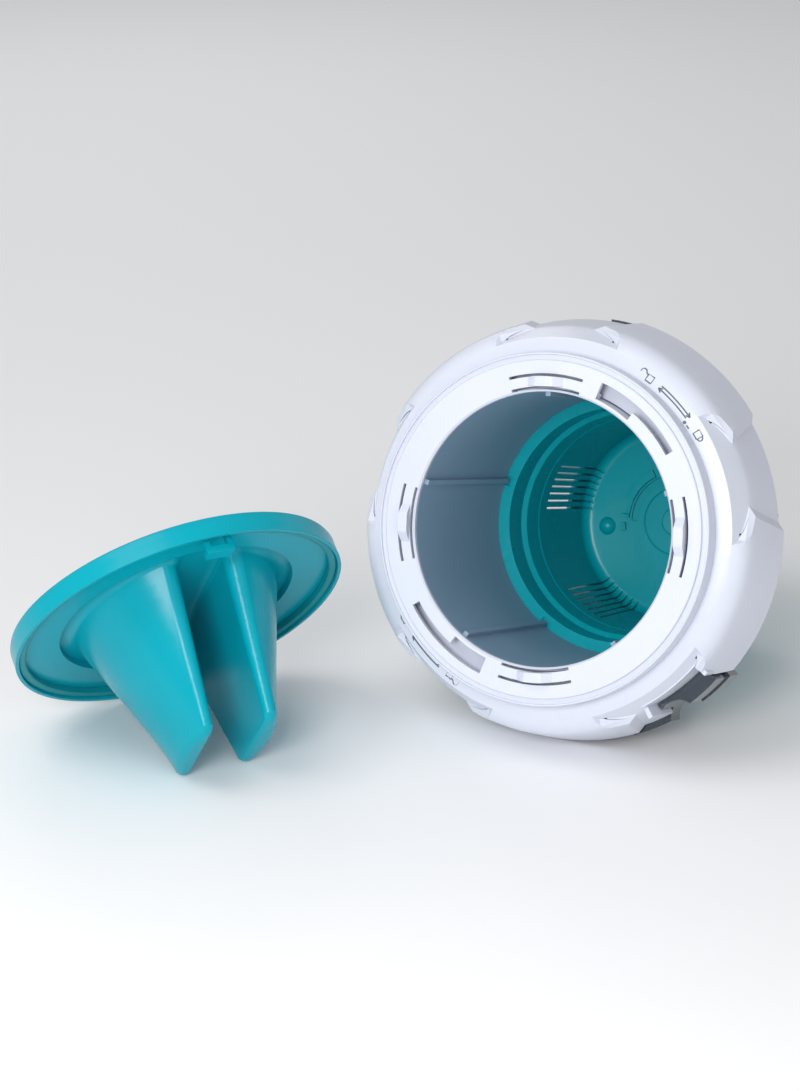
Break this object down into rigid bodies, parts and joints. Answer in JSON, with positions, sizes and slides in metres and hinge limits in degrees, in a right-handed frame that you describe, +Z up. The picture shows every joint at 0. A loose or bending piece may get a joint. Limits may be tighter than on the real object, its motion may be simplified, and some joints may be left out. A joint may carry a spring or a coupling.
{
  "type": "floating chlorine dispenser",
  "caption": "Floating pool tablet dispenser on its side: two-part float ring, frosted tablet tube, slotted basket with turning flow dial, twist-lock lid lying beside it.",
  "frame": {"origin": "on the table, under the middle of the bounding box of the float and its lid as they lie side by side", "axes": "+Z up from the table, the chamber's mouth looks along -Y and is tipped up 18.4 degrees, the lid lies on the -X side"},
  "size_m": [0.2974, 0.3054, 0.1791],
  "materials": {
    "white_plastic": "satin moulded polypropylene",
    "smoke_plastic": "glossy tinted",
    "frosted_plastic": "frosted translucent",
    "teal_plastic": "glossy moulded",
    "lid_plastic": "glossy moulded",
    "soft_teal": "soft matte",
    "white_nylon": "matte",
    "steel": "brushed stainless",
    "rubber": "matte"
  },
  "bodies": {
    "float": {"lock_ring": "white_plastic", "upper_float_shell": "white_plastic", "shell_seal": "rubber", "lower_float_shell": "smoke_plastic", "chamber_tube": "frosted_plastic", "tube_upper_seal": "rubber", "tube_lower_seal": "rubber", "basket": "teal_plastic", "dial_pivot": "teal_plastic", "pivot_washer": "white_nylon", "pivot_clip": "steel"},
    "dial": {"flow_dial": "teal_plastic"},
    "lid_seal": {"lid_seal_ring": "soft_teal"},
    "lid": {"lid_cap": "lid_plastic"}
  },
  "joints": [
    {"name": "flow_dial_turn", "type": "hinge", "parent": "float", "child": "dial", "pos_m": [0.05624, 0.13194, 0.04812], "axis": [0, -0.9488, 0.3159], "range_deg": [0, 36]},
    {"name": "lid_lift", "type": "slide", "parent": "float", "child": "lid_seal", "axis": [-0.6085, 0.4552, 0.65], "range_m": [0, 0.11]},
    {"name": "lid_twist", "type": "hinge", "parent": "lid_seal", "child": "lid", "pos_m": [-0.08556, -0.08745, 0.05688], "axis": [-0.6085, 0.4552, 0.65], "range_deg": [-20, 0]}
  ]
}
